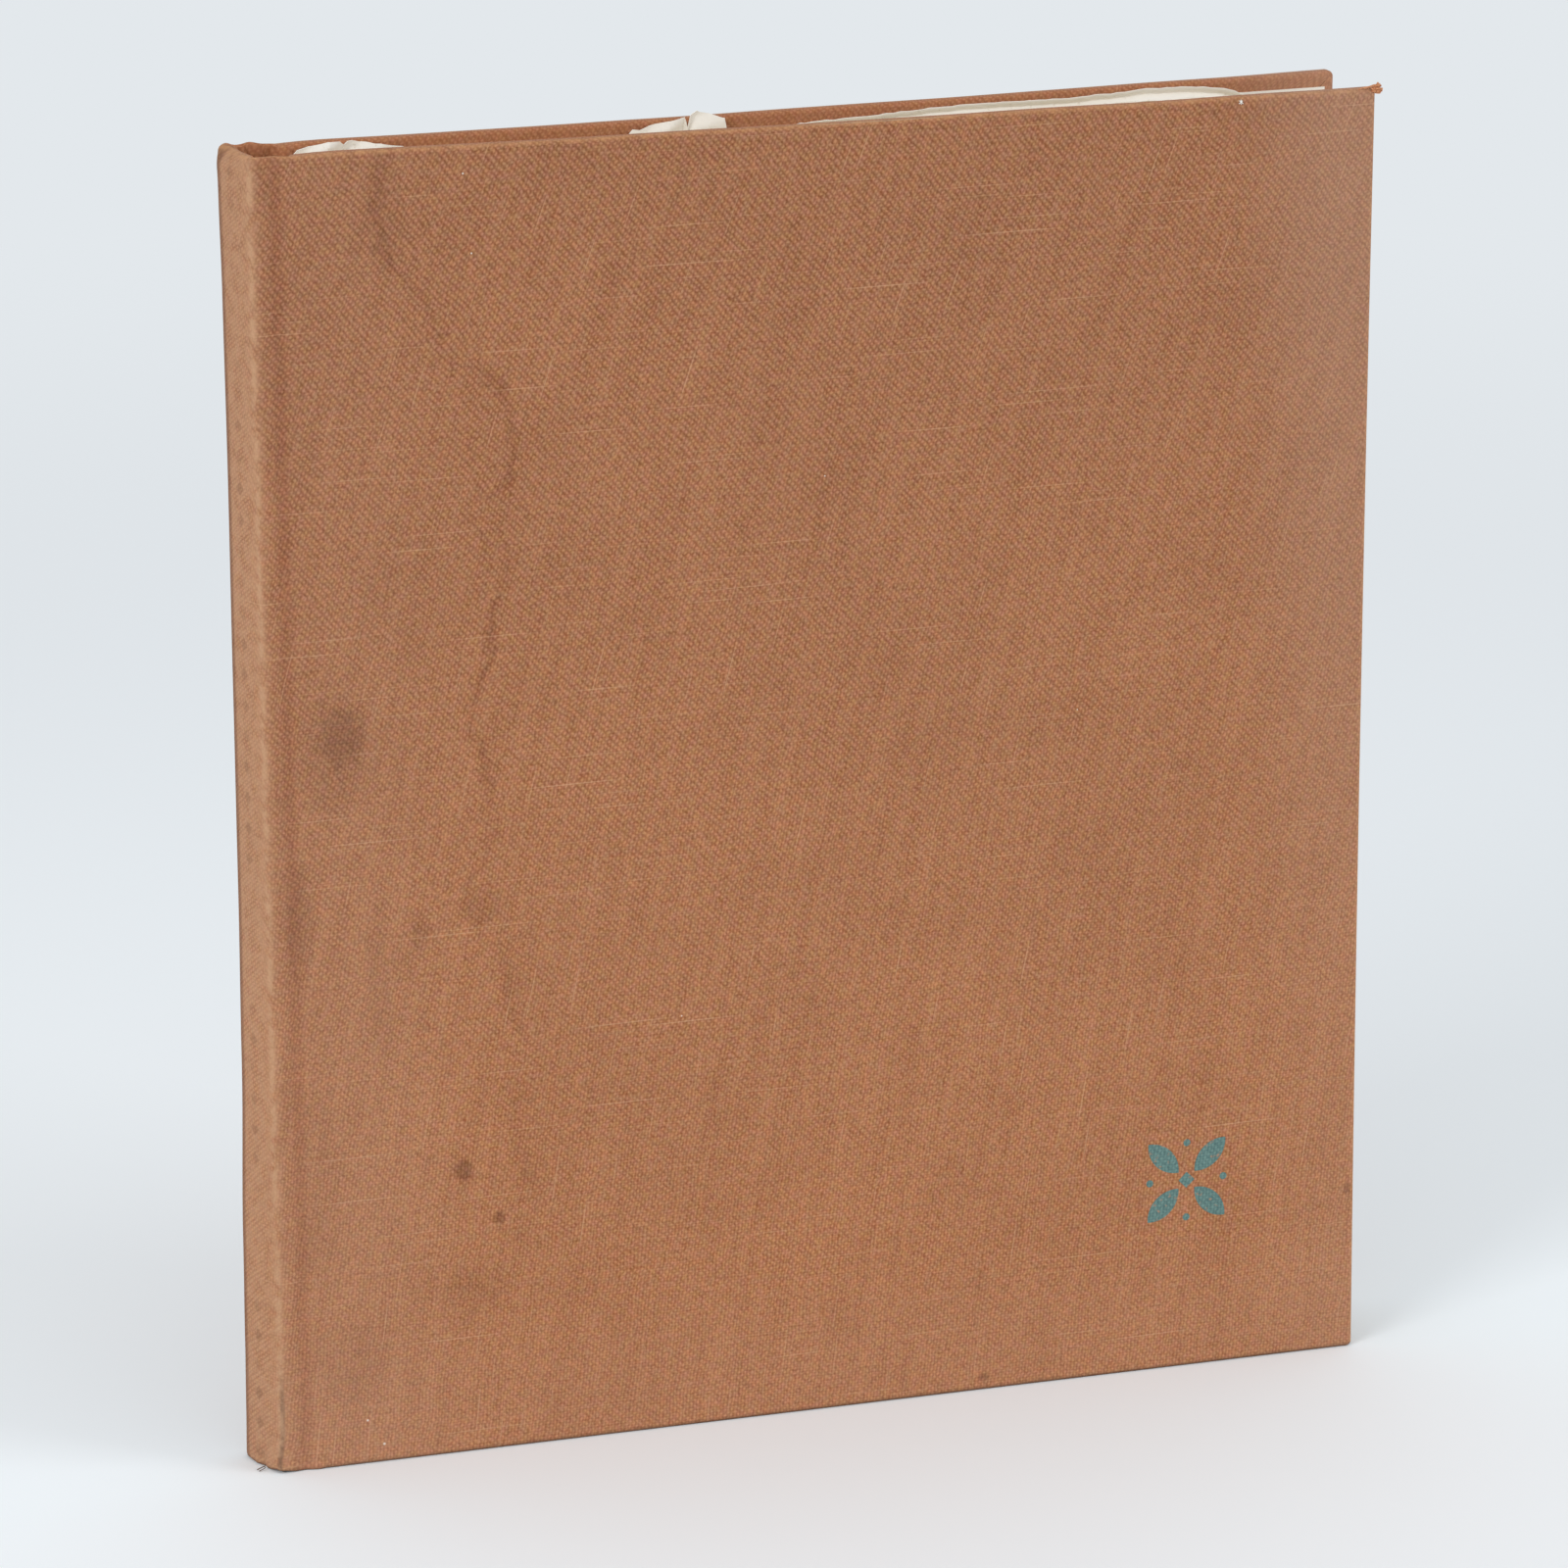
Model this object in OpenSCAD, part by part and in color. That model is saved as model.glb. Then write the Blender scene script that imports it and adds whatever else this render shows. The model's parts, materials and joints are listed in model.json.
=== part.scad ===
// Hardback book in a cloth case: a sewn text block hung between two covered
// boards, a card-stiffened spine, and a worn loose sheet kept at the back.
// The book stands on its tail edges with the fore-edge to +X, the front cover
// to -Y and both covers a little ajar. The origin is under the middle.

/* [Text block] */
// Height of a page
page_h = 272; // [200:1:320]
// Width of a page, from the folded back to the fore-edge
page_w = 237; // [160:1:280]
// Thickness of all the pages together
block_t = 6.9; // [5:0.1:20]
// Number of folded and sewn gatherings
gatherings = 5; // [3:1:9]

/* [Endpapers] */
// Thickness of the endpapers
endpaper_t = 0.2; // [0.1:0.05:0.3]
// Room between a closed cover and its flyleaf
leaf_gap = 0.5; // [0.5:0.05:1]
// Cloth left showing round each pastedown
pastedown_inset = 3.2; // [2:0.2:6]

/* [Boards] */
// Thickness of the cover boards
board_t = 2.4; // [1.6:0.1:3.2]
// Board that stands past the pages at head and tail
head_square = 3.5; // [2:0.25:6]
// Board that stands past the pages at the fore-edge
fore_square = 3.5; // [2:0.25:6]
// How far each cover stands open
ajar = 1.2; // [0:0.1:10]

/* [Cloth] */
// Thickness of the covering cloth
cloth_t = 0.5; // [0.4:0.05:0.7]
// Width of the cloth turned in over the boards
turn_in = 15; // [10:1:20]
// Rounding of the cloth over a board's edges
edge_r = 0.8; // [0.7:0.05:1.1]
// Rounding of a cover's two outer corners
corner_r = 1.2; // [0.8:0.1:1.5]
// Width of the slit where two turned-in strips meet in a mitre
mitre_slit = 0.2; // [0.1:0.05:0.4]
// Depth of that slit
mitre_depth = 0.25; // [0.1:0.05:0.28]

/* [Joint] */
// Distance from the hinge line to the far side of the groove
joint_w = 8.5; // [8:0.1:11]
// Flat between the rounded ridge and the groove
ridge_flat = 0.9; // [0.5:0.1:1.5]
// Depth of the groove pressed in beside the spine
groove_depth = 1.6; // [0.8:0.1:1.8]
// Room between the end of the groove and the board's edge
board_gap = 0.1; // [0.05:0.05:0.5]
// Gap between the still and the swinging half of the joint
swing_clear = 0.3; // [0.2:0.05:0.5]

/* [Spine] */
// Thickness of the card that stiffens the spine
inlay_t = 1.2; // [0.8:0.1:1.5]
// How far the card bends round each ridge, in degrees
inlay_wrap = 65; // [30:5:80]
// Thickness of the gauze glued over the folds
mull_t = 0.4; // [0.3:0.05:0.5]
// Where the gauze wing first meets the cloth of the joint
wing_reach = 3; // [2:0.1:3.5]
// Thickness of the paper over the gauze
liner_t = 0.3; // [0.2:0.05:0.5]
// Distance between the gauze and the tapes or turned-in cloth
mull_clear = 3; // [1:0.5:10]
// Radius of a head band's bead
bead_r = 0.9; // [0.6:0.05:1.4]
// Width of one turn of thread on the bead
thread_w = 0.7; // [0.5:0.1:1.2]
// Depth between two turns of thread
thread_dip = 0.12; // [0.05:0.01:0.2]
// Thickness of a head band's tape
tape_t = 0.3; // [0.2:0.05:0.5]
// Length of a head band's tape down the folds
tape_h = 10; // [6:1:14]

/* [Ornament] */
// Length of one leaf of the ornament
leaf_l = 10; // [6:0.5:14]
// Greatest width of a leaf
leaf_w = 4.6; // [3:0.2:6]
// Distance from the ornament's middle to the start of a leaf
leaf_start = 2.6; // [2:0.2:5]
// Side of the lozenge in the middle
lozenge = 2.6; // [1.5:0.1:3]
// Radius of the dots between the leaves
dot_r = 0.8; // [0.5:0.1:1.2]
// Distance of the dots from the middle
dot_reach = 8.5; // [6:0.5:12]
// Distance of the ornament's middle from the fore-edge
ornament_in = 39; // [25:1:80]
// Height of the ornament's middle
ornament_up = 43; // [25:1:150]
// Depth of the ornament's recess in the cloth
recess = 0.18; // [0.12:0.01:0.22]
// Thickness of the colour laid in that recess
foil_t = 0.1; // [0.05:0.01:0.12]

/* [Loose sheet] */
// Thickness of the loose sheet
sheet_t = 0.2; // [0.1:0.05:0.25]
// Width of the loose sheet
sheet_w = 212; // [120:1:220]
// Distance of the loose sheet from the folds
sheet_in = 8; // [7:1:20]
// Height of the loose sheet's lower edge
sheet_low = 7; // [4:1:20]

/* [Hidden] */
$fn = 96;
eps = 0.01;

// Heights, from the surface that the book stands on
cover_h = page_h + 2 * head_square + 2 * cloth_t;
page_low = cloth_t + head_square;
page_top = page_low + page_h;

// Distances outwards from the hinge line, which lies in the middle of the
// gap between a flyleaf and its closed cover
paste_in = leaf_gap / 2;
turn_low = paste_in + endpaper_t;
board_low = turn_low + cloth_t;
board_high = board_low + board_t;
cover_r = board_high + cloth_t;
hinge_y = block_t / 2 + endpaper_t + leaf_gap / 2;

// Distances along the cover, from the hinge line
reach = page_w + fore_square + cloth_t;
groove_x = (joint_w + ridge_flat) / 2;
groove_half = (joint_w - ridge_flat) / 2;
groove_r = (groove_half * groove_half + groove_depth * groove_depth)
           / (2 * groove_depth);
groove_y = cover_r - groove_depth + groove_r;
board_start = groove_x + board_gap
              + sqrt(pow(groove_r + cloth_t, 2) - pow(groove_y - board_high, 2));
paste_end = reach - pastedown_inset;

// The joint is parted on a circle about the hinge line, through the groove
part_r = norm([groove_x, cover_r - groove_depth]);
still_r = part_r - swing_clear / 2;
swing_r = part_r + swing_clear / 2;

mull_low = max(turn_in, page_low + tape_h) + mull_clear;
mull_high = cover_h - mull_low;
centre_x = (reach * cos(ajar) - cover_r) / 2;

// Torn head of the loose sheet, as a share of its width and the height
// above the covers' own head
TORN_HEAD = [[0, -6], [0.02, -1.4], [0.03, -0.3], [0.052, 0], [0.067, -0.7],
             [0.071, 0.1], [0.092, -0.6], [0.13, -2.4], [0.2, -4.6],
             [0.29, -4], [0.353, -2.5], [0.355, -1.4], [0.362, -1.9],
             [0.376, -0.8], [0.405, 0.4], [0.411, -2.2], [0.415, 0.8],
             [0.421, 1.4], [0.436, 0.6], [0.45, -0.5], [0.452, -3.4],
             [0.49, -4], [0.524, -2.6], [0.594, -1.8], [0.703, -0.8],
             [0.801, -0.9], [0.888, 0], [0.937, -0.2], [0.964, -0.7],
             [0.988, -2.4], [1, -6]];

// Height of the underside of the joint's layers, off from the outer face
function groove_under(x, off) =
    groove_y - sqrt(pow(groove_r + off, 2) - pow(x - groove_x, 2));

// Moves what is drawn about the book's own middle plane into place
module in_book() {
    translate([-centre_x, 0, 0]) children();
}

// Puts what is drawn about a hinge line on the back of the book
module at_back(open = 0) {
    in_book() translate([0, hinge_y, 0]) rotate([0, 0, open]) children();
}

// Puts what is drawn about a hinge line on the front of the book
module at_front(open = 0) {
    mirror([0, 1, 0]) at_back(open) children();
}

// A box between two corners
module block(low, high) {
    translate(low) cube(high - low);
}

// A rectangle between two corners
module plate(low, high) {
    translate(low) square(high - low);
}

// A rectangle whose two right-hand corners are round
module round_ended(low, high, r) {
    plate(low, [high.x - r, high.y]);
    plate([low.x, low.y + r], [high.x, high.y - r]);
    for (y = [low.y + r, high.y - r]) {
        translate([high.x - r, y]) circle(r);
    }
}

// The groove's own circle, larger by off
module groove_circle(off) {
    translate([groove_x, groove_y]) circle(groove_r + off);
}

// The case seen from above, smaller all round by off
module case_plan(off) {
    skin_r = cover_r - off;
    plate([-skin_r, -hinge_y], [0, hinge_y]);
    for (side = [0, 1]) {
        mirror([0, side]) translate([0, hinge_y]) {
            circle(skin_r);
            difference() {
                plate([0, -hinge_y - eps], [joint_w, skin_r]);
                groove_circle(off);
            }
        }
    }
}

// Everything left of the lines where the card of the spine ends
module inlay_sector() {
    far = 4 * cover_r;
    end_x = -far * cos(inlay_wrap);
    end_y = hinge_y + far * sin(inlay_wrap);
    polygon([[0, hinge_y], [end_x, end_y], [-far, end_y],
             [-far, -end_y], [end_x, -end_y], [0, -hinge_y]]);
}

// The part of the joint that stays with the spine
module still_zone() {
    plate([-2 * cover_r, -hinge_y - cover_r], [0, hinge_y + cover_r]);
    for (side = [-1, 1]) {
        translate([0, side * hinge_y]) circle(still_r);
    }
}

module spine_inlay_plan() {
    intersection() {
        difference() {
            case_plan(cloth_t);
            case_plan(cloth_t + inlay_t);
        }
        inlay_sector();
    }
}

// All that lies inside the cloth where it is turned in
module spine_hollow_plan() {
    difference() {
        case_plan(2 * cloth_t);
        difference() {
            inlay_sector();
            case_plan(2 * cloth_t + inlay_t);
        }
    }
}

module text_block() {
    fold_r = block_t / gatherings / 2;
    color("#e9e2d0") in_book() {
        block([fold_r, -block_t / 2, page_low], [page_w, block_t / 2, page_top]);
        for (i = [0 : gatherings - 1]) {
            translate([fold_r, (2 * i + 1) * fold_r - block_t / 2, page_low])
                cylinder(h = page_h, r = fold_r);
        }
    }
}

// Gauze over the folds, with a wing at each side that runs up to the joint
module mull() {
    back_y = block_t / 2 + endpaper_t;
    color("#d8cfb4") in_book() {
        block([-mull_t, -back_y, mull_low], [0, back_y, mull_high]);
        for (side = [0, 1]) {
            mirror([0, side, 0]) translate([0, hinge_y, mull_low])
                mull_wing(mull_high - mull_low);
        }
    }
}

module mull_wing(length) {
    linear_extrude(length)
        polygon([[0, -paste_in],
                 [0, -paste_in - mull_t],
                 [-mull_t, -paste_in - mull_t],
                 [-mull_t, 0],
                 [wing_reach, groove_under(wing_reach, cloth_t)],
                 [wing_reach, groove_under(wing_reach, cloth_t + mull_t)]]);
    linear_extrude(length) intersection() {
        difference() {
            groove_circle(cloth_t + mull_t);
            groove_circle(cloth_t);
        }
        circle(still_r);
        plate([wing_reach - mull_t, 0], [joint_w, cover_r]);
    }
}

module spine_liner() {
    color("#b89b72") in_book()
        block([-mull_t - liner_t, -block_t / 2, mull_low],
              [-mull_t, block_t / 2, mull_high]);
}

// A bead of wound thread on the edge of the pages, with its tape below
module end_band() {
    turns = ceil(block_t / thread_w);
    turn_w = block_t / turns;
    translate([bead_r - tape_t, -block_t / 2, bead_r]) rotate([-90, 0, 0]) {
        cylinder(h = block_t, r = bead_r - thread_dip);
        for (i = [0 : 2 : turns - 1]) {
            translate([0, 0, i * turn_w]) cylinder(h = turn_w, r = bead_r);
        }
    }
    block([-tape_t, -block_t / 2, -tape_h], [0, block_t / 2, bead_r]);
}

module head_band() {
    color("#c9b58a") in_book() translate([0, 0, page_top]) end_band();
}

module tail_band() {
    color("#c9b58a") in_book() translate([0, 0, page_low])
        mirror([0, 0, 1]) end_band();
}

// Thin card bent round both ridges
module spine_inlay() {
    color("#a99674") in_book() translate([0, 0, cloth_t])
        linear_extrude(cover_h - 2 * cloth_t) spine_inlay_plan();
}

// Cloth over the spine, turned in at head and tail over the card
module spine_cloth() {
    color("#b08562") in_book() difference() {
        linear_extrude(cover_h) intersection() {
            still_zone();
            difference() {
                case_plan(0);
                spine_hollow_plan();
            }
        }
        translate([0, 0, turn_in]) linear_extrude(cover_h - 2 * turn_in)
            case_plan(cloth_t);
        translate([0, 0, cloth_t]) linear_extrude(cover_h - 2 * cloth_t)
            spine_inlay_plan();
    }
}

module front_flyleaf() {
    color("#ece6d6") mirror([0, 1, 0]) flyleaf();
}

module back_flyleaf() {
    color("#ece6d6") flyleaf();
}

module flyleaf() {
    in_book() block([0, block_t / 2, page_low],
                    [page_w, block_t / 2 + endpaper_t, page_top]);
}

// One sheet with a ragged head, kept between the last leaf and the cover
module loose_sheet() {
    head = [for (p = TORN_HEAD) [sheet_in + p.x * sheet_w, cover_h + p.y]];
    foot = [[sheet_in + sheet_w, sheet_low], [sheet_in, sheet_low]];
    color("#f1ecdf") in_book()
        translate([0, block_t / 2 + endpaper_t + sheet_t, 0])
            rotate([90, 0, 0]) linear_extrude(sheet_t)
                polygon(concat(head, foot));
}

// Board under the cloth, drawn about its hinge line
module board() {
    block([board_start, board_low, cloth_t],
          [reach - cloth_t, board_high, cover_h - cloth_t]);
}

// Outside of a covered board, with its edges and outer corners rounded
module cover_form() {
    intersection() {
        linear_extrude(cover_h) difference() {
            round_ended([0, turn_low], [reach, cover_r], edge_r);
            groove_circle(0);
            circle(swing_r);
        }
        rotate([90, 0, 90]) linear_extrude(reach + eps) {
            mid = cover_h / 2;
            for (up = [0, 1]) {
                translate([0, mid]) mirror([0, up])
                    rotate(90) mirror([0, 1])
                        round_ended([-eps, turn_low], [mid, cover_r], edge_r);
            }
        }
        translate([0, cover_r + eps, 0]) rotate([90, 0, 0])
            linear_extrude(cover_r + 2 * eps)
                round_ended([-eps, 0], [reach, cover_h], corner_r);
    }
}

// Space under the joint's cloth where it is a number of layers thick
module joint_hollow(layers) {
    difference() {
        plate([-eps, -eps], [board_start, cover_r - layers * cloth_t]);
        groove_circle(layers * cloth_t);
    }
}

// Cloth over one board: outer face, edges, turned-in strips and its half
// of the joint, drawn about the hinge line
module cover_cloth() {
    window = [reach - turn_in, board_low, cover_h - turn_in];
    difference() {
        cover_form();
        board();
        block([-eps, turn_low - eps, turn_in], window);
        linear_extrude(cover_h) joint_hollow(2);
        translate([0, 0, turn_in]) linear_extrude(cover_h - 2 * turn_in)
            joint_hollow(1);
        for (up = [0, 1]) {
            translate([reach, turn_low, cover_h / 2]) mirror([0, 0, up])
                translate([0, 0, cover_h / 2]) mitre();
        }
    }
}

// The slit between two turned-in strips, from an outer corner inwards
module mitre() {
    length = turn_in * sqrt(2) + corner_r;
    rotate([0, -45, 0])
        block([-length, -eps, -mitre_slit / 2],
              [-corner_r, mitre_depth, mitre_slit / 2]);
}

// Endpaper on the inside of a cover, stepped over the turned-in cloth
module pastedown() {
    start = swing_r;
    inner = turn_in + endpaper_t;
    difference() {
        block([start, paste_in, pastedown_inset],
              [paste_end, turn_low, cover_h - pastedown_inset]);
        pastedown_dish(inner);
    }
    difference() {
        block([start, paste_in, turn_in],
              [reach - turn_in, board_low, cover_h - turn_in]);
        pastedown_dish(inner);
    }
}

module pastedown_dish(inner) {
    block([0, paste_in - eps, inner],
          [reach - inner, board_low - endpaper_t, cover_h - inner]);
}

// Four pointed leaves set crosswise round a lozenge, with dots between
module ornament_plan() {
    rotate(45) square(lozenge, center = true);
    for (turn = [0 : 90 : 270]) {
        rotate(turn + 45) translate([leaf_start, 0]) leaf_plan();
        rotate(turn) translate([dot_reach, 0]) circle(dot_r);
    }
}

module leaf_plan() {
    bow = (leaf_l * leaf_l + leaf_w * leaf_w) / (4 * leaf_w);
    intersection() {
        leaf_side(1, bow);
        leaf_side(-1, bow);
    }
}

module leaf_side(side, bow) {
    translate([leaf_l / 2, side * (bow - leaf_w / 2)]) circle(bow);
}

// The ornament's outline pushed in from a cover's outer face
module ornament(depth, thickness) {
    translate([reach - ornament_in, cover_r - depth + thickness, ornament_up])
        rotate([90, 0, 0]) linear_extrude(thickness) ornament_plan();
}

module front_board() {
    color("#b7a582") at_front(ajar) board();
}

module front_cloth() {
    color("#a97350") at_front(ajar) difference() {
        cover_cloth();
        ornament(recess, recess + eps);
    }
}

module front_pastedown() {
    color("#e8e1cf") at_front(ajar) pastedown();
}

module cover_ornament() {
    color("#4f7073") at_front(ajar) ornament(recess, foil_t);
}

module back_board() {
    color("#b7a582") at_back(ajar) board();
}

module back_cloth() {
    color("#a97350") at_back(ajar) cover_cloth();
}

module back_pastedown() {
    color("#e8e1cf") at_back(ajar) pastedown();
}

text_block();
mull();
spine_liner();
head_band();
tail_band();
spine_inlay();
spine_cloth();
front_flyleaf();
back_flyleaf();
loose_sheet();
front_board();
front_cloth();
front_pastedown();
cover_ornament();
back_board();
back_cloth();
back_pastedown();
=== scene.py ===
import json
import math
from functools import partial

import bpy
from mathutils import Matrix, Vector, noise

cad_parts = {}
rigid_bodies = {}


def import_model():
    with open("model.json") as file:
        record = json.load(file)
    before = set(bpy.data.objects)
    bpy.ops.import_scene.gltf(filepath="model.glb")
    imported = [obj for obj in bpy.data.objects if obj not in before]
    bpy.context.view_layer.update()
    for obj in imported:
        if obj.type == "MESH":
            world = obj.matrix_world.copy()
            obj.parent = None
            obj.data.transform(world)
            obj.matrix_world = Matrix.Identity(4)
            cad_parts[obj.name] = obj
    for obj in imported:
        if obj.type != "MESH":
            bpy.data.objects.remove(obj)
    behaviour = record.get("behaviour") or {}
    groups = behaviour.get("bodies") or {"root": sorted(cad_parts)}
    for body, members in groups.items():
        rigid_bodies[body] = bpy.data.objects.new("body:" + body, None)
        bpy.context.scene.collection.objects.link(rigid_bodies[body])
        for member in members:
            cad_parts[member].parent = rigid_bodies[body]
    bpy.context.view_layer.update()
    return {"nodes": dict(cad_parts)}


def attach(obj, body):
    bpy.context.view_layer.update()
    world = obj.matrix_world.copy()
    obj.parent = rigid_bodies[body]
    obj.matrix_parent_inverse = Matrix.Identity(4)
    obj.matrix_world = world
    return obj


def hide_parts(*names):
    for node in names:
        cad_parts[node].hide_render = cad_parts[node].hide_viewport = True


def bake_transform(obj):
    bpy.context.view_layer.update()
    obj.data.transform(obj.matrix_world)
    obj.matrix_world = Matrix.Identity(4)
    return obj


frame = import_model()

cad = frame["nodes"]

# ---- sizes, mm
MM = 0.001
MIDDLE_X = 118.5486     # hinge lines to the middle of the book
COVER_H = 280
REACH = 241             # hinge line to the fore-edge of a cover
PAGE_W = 237
PAGE_LOW = 4
PAGE_TOP = 276
HALF_BLOCK = 3.45
ENDPAPER = 0.2
HINGE_Y = 3.9
SKIN = 3.85             # hinge line to the outside of a cover
CLOTH = 0.5
CARD = 1.2
BOARD = 2.4
BOARD_IN = 0.95         # hinge line to the inner face of a board
PASTE_IN = 0.25         # hinge line to the seen face of a pastedown
COVER_T = 3.4           # cloth, board and turned-in cloth together
TURN_IN = 15
CORNER = 1.2            # rounding of a cover's corners
EDGE_R = 0.8
PASTE_INSET = 3.2       # cloth left showing at head and tail
PASTE_SIDE = 2.2        # and at the fore-edge
JOINT_END = 9           # hinge line to where the board starts
GATHERING = 1.38        # thickness of one folded gathering
AJAR = math.radians(1.2)
BEND_END = 5.2          # the joint bends between the hinge line and here
HALF_SLIT = 0.08        # half the slit along a mitre
DRAWN_IN = 25           # how much turned-in cloth is drawn together at a mitre
GROOVE, GROOVE_X = 0.55, 4.8    # depth and place of the groove in a joint


def at(x, y, z):
    """A point of the book, x from the hinge lines, as Blender wants it."""
    return Vector(((x - MIDDLE_X) * MM, y * MM, z * MM))


def clamp(t):
    return max(0.0, min(1.0, t))


def smooth(t):
    t = clamp(t)
    return t * t * (3 - 2 * t)


def hump(x, middle, half):
    """1 at middle, dying away within a few halves."""
    return math.exp(-(((x - middle) / half) ** 2))


def mix(a, b, t):
    return a + (b - a) * t


def follow(points, x, eased=True):
    """Height at x of a line through the points, rounded between them."""
    if x <= points[0][0]:
        return points[0][1]
    for (x0, y0), (x1, y1) in zip(points, points[1:]):
        if x <= x1:
            t = (x - x0) / (x1 - x0)
            return mix(y0, y1, smooth(t) if eased else t)
    return points[-1][1]


# ---- camera
# Fitted to the cover's four corners and both ends of the spine
camera_data = bpy.data.cameras.new("camera")
camera_data.lens = 156.57
camera_data.sensor_width = 36
camera_data.clip_start, camera_data.clip_end = 0.05, 60
camera = bpy.data.objects.new("camera", camera_data)
bpy.context.scene.collection.objects.link(camera)
CAMERA_YAW, CAMERA_PITCH, CAMERA_ROLL = 18.873, 15.8697, -0.278
camera.matrix_world = (
    Matrix.Translation((-0.45164, -1.30826, 0.5306))
    @ Matrix.Rotation(math.radians(-CAMERA_YAW), 4, "Z")
    @ Matrix.Rotation(math.radians(90 - CAMERA_PITCH), 4, "X")
    @ Matrix.Rotation(math.radians(CAMERA_ROLL), 4, "Z")
)
bpy.context.scene.camera = camera


# ---- modelling
def nothing_selected():
    if bpy.context.object and bpy.context.object.mode == "EDIT":
        bpy.ops.object.mode_set(mode="OBJECT")
    bpy.ops.object.select_all(action="DESELECT")


def only(piece):
    nothing_selected()
    piece.select_set(True)
    bpy.context.view_layer.objects.active = piece


def in_edit(piece, kind="VERT"):
    """Opens a piece in edit mode with nothing in it selected."""
    only(piece)
    bpy.ops.object.mode_set(mode="EDIT")
    bpy.ops.mesh.select_mode(type=kind)
    bpy.ops.mesh.select_all(action="DESELECT")


def thicken(piece, thick, inward=True):
    only(piece)
    bpy.ops.object.modifier_add(type="SOLIDIFY")
    wall = piece.modifiers[-1]
    wall.thickness = thick * MM
    wall.offset = -1 if inward else 1
    bpy.ops.object.modifier_apply(modifier=wall.name)


def soften(piece, degrees=50):
    only(piece)
    bpy.ops.object.shade_smooth_by_angle(angle=math.radians(degrees))


def sheet(name, columns, rows, place, lie, cut=None, turned=False):
    """A flat sheet of columns by rows, laid where place(i, j) says.

    lie(i, j) is where that point was on the flat sheet, in millimetres, and
    becomes the UV map, so that a weave follows every fold. cut(i, j) says
    which squares the binder's knife takes away.
    """
    nothing_selected()
    bpy.ops.mesh.primitive_grid_add(
        x_subdivisions=columns - 1, y_subdivisions=rows - 1, size=1
    )
    piece = bpy.context.object
    piece.name = piece.data.name = name
    mesh = piece.data
    while mesh.uv_layers:
        mesh.uv_layers.remove(mesh.uv_layers[0])
    flat = [
        (round((v.co.x + 0.5) * (columns - 1)), round((v.co.y + 0.5) * (rows - 1)))
        for v in mesh.vertices
    ]
    layer = mesh.uv_layers.new(name="flat_mm")
    for loop in mesh.loops:
        layer.data[loop.index].uv = lie(*flat[loop.vertex_index])
    for vertex, ij in zip(mesh.vertices, flat):
        vertex.co = place(*ij)
    in_edit(piece, "FACE")
    if cut:
        bpy.ops.object.mode_set(mode="OBJECT")
        for face in mesh.polygons:
            face.select = cut(*map(min, zip(*(flat[v] for v in face.vertices))))
        bpy.ops.object.mode_set(mode="EDIT")
        bpy.ops.mesh.delete(type="FACE")
    bpy.ops.mesh.select_all(action="SELECT")
    bpy.ops.mesh.remove_doubles(threshold=0.00001)
    if turned:
        bpy.ops.mesh.flip_normals()
    nothing_selected()
    return piece


def leaf(name, xs, zs, place, thick, turned=False, inward=True, soft=True):
    """A sheet with its lines at xs and zs on the flat, laid by place(x, z)."""
    made = sheet(name, len(xs), len(zs), lambda i, j: place(xs[i], zs[j]),
                 lambda i, j: (xs[i], zs[j]), turned=turned)
    thicken(made, thick, inward)
    if soft:
        soften(made)
    return made


def steps(start, end, size):
    """Even stations from start to end, about size apart."""
    count = max(1, round((end - start) / size))
    return [start + (end - start) * n / count for n in range(count + 1)]


def over_edge(thick):
    """The cloth's way over an edge: how far in from it, and how deep."""
    r = min(EDGE_R, 0.45 * thick)
    bend = [
        (r - r * math.sin(math.radians(a)), r - r * math.cos(math.radians(a)))
        for a in (30, 60, 90)
    ]
    way = [(CORNER, 0), (r, 0)] + bend
    under = [(d, thick - w) for d, w in reversed(way)]
    strip = [(d, thick) for d in (3.2, 6, 9, 12, TURN_IN)]
    return way + [(0, thick / 2)] + under + strip


WAY = len(over_edge(COVER_T)) - 1      # stations over an edge
MITRE = 10                             # the one where the mitre begins


def way_length(n):
    """Length of cloth from the start of the way over a board's edge."""
    way = over_edge(COVER_T)
    return sum(math.dist(way[k], way[k + 1]) for k in range(n))


# ---- the case
SPINE_PEAK = 4.5        # where the flattened, leaning spine stands out most
SPINE_OUT = 3.85


def spine_bow(y):
    """How far the spine stands out, y from the middle, front negative."""
    if y <= SPINE_PEAK:
        rise = (SPINE_PEAK - y) / (SPINE_PEAK + HINGE_Y + SKIN)
        return SPINE_OUT * (1 - rise ** 1.7)
    fall = (y - SPINE_PEAK) / (HINGE_Y + SKIN - SPINE_PEAK)
    return SPINE_OUT * math.sqrt(max(0, 1 - fall * fall))


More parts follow.
